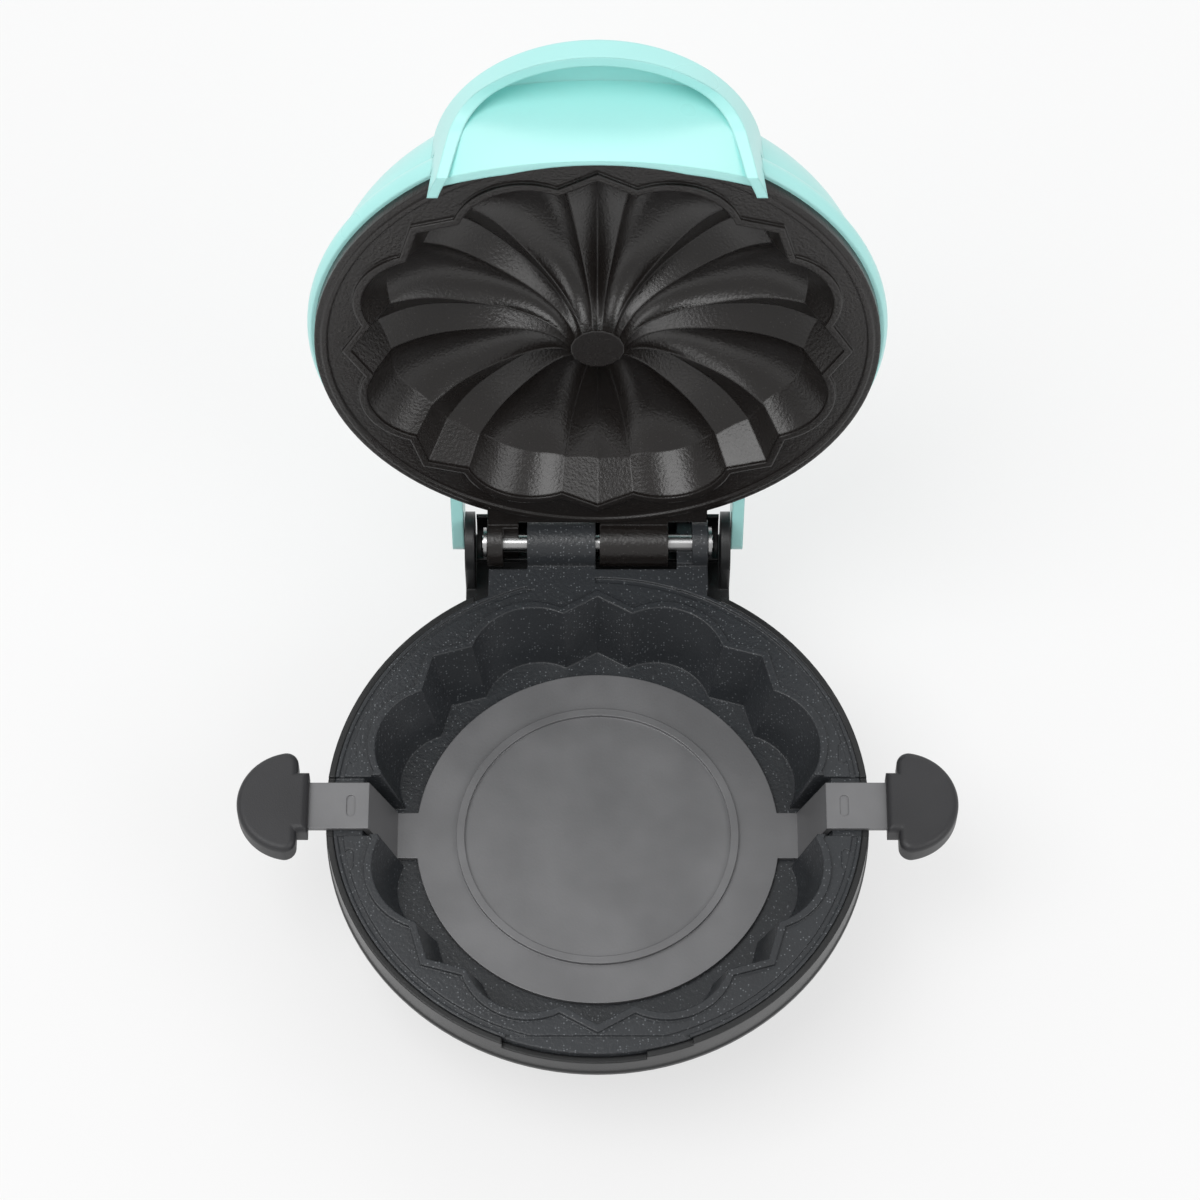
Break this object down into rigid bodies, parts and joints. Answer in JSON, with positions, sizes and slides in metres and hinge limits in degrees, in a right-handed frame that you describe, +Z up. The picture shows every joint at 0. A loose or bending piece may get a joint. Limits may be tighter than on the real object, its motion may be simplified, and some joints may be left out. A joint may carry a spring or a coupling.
{
  "type": "mini cake maker",
  "caption": "Small round cooker with a hinged domed lid, a flower shaped cavity, a fluted ring mould and a lifting tray with side grips.",
  "frame": {"origin": "on the table, under the centre of the round base", "axes": "+Z up, +X to the right, +Y towards the hinge at the back"},
  "size_m": [0.1762, 0.2008, 0.2009],
  "materials": {
    "aqua_plastic": "smooth satin gloss",
    "black_plastic": "satin moulded plastic",
    "grip_plastic": "fine matte texture",
    "grey_coating": "speckled non-stick coating",
    "dark_coating": "semi-gloss non-stick coating",
    "brushed_strap": "coated steel strip",
    "zinc_steel": "bright steel",
    "heater_steel": "dull heat tinted tube",
    "shield_aluminium": "plain rolled sheet",
    "ceramic_white": "matte white",
    "foot_rubber": "matte",
    "inlet_rubber": "matte",
    "lens_clear": "tinted clear lens"
  },
  "bodies": {
    "base": {"base_housing": "black_plastic", "base_bottom_cover": "black_plastic", "base_feet": "foot_rubber", "base_plate": "grey_coating", "base_screws": "zinc_steel", "base_heating_element": "heater_steel", "base_heat_shield": "shield_aluminium", "thermostat": "ceramic_white", "thermal_fuse": "shield_aluminium", "terminal_block": "ceramic_white", "cord_inlet": "inlet_rubber", "hinge_pin": "zinc_steel", "hinge_clips": "zinc_steel"},
    "lifter": {"lifter_tray": "brushed_strap", "lifter_grip_left": "grip_plastic", "lifter_grip_right": "grip_plastic"},
    "lid": {"lid_plate": "dark_coating", "lid_housing": "aqua_plastic", "lid_handle": "aqua_plastic", "lid_heating_element": "heater_steel", "lid_heat_shield": "shield_aluminium", "indicator_lenses": "lens_clear"}
  },
  "joints": [
    {"name": "lid_hinge", "type": "hinge", "parent": "base", "child": "lid", "pos_m": [0, 0.0733, 0.0472], "axis": [1, 0, 0], "range_deg": [0, 98.5]},
    {"name": "tray_lift", "type": "slide", "parent": "base", "child": "lifter", "axis": [0, 0, 1], "range_m": [0, 0.001]}
  ]
}
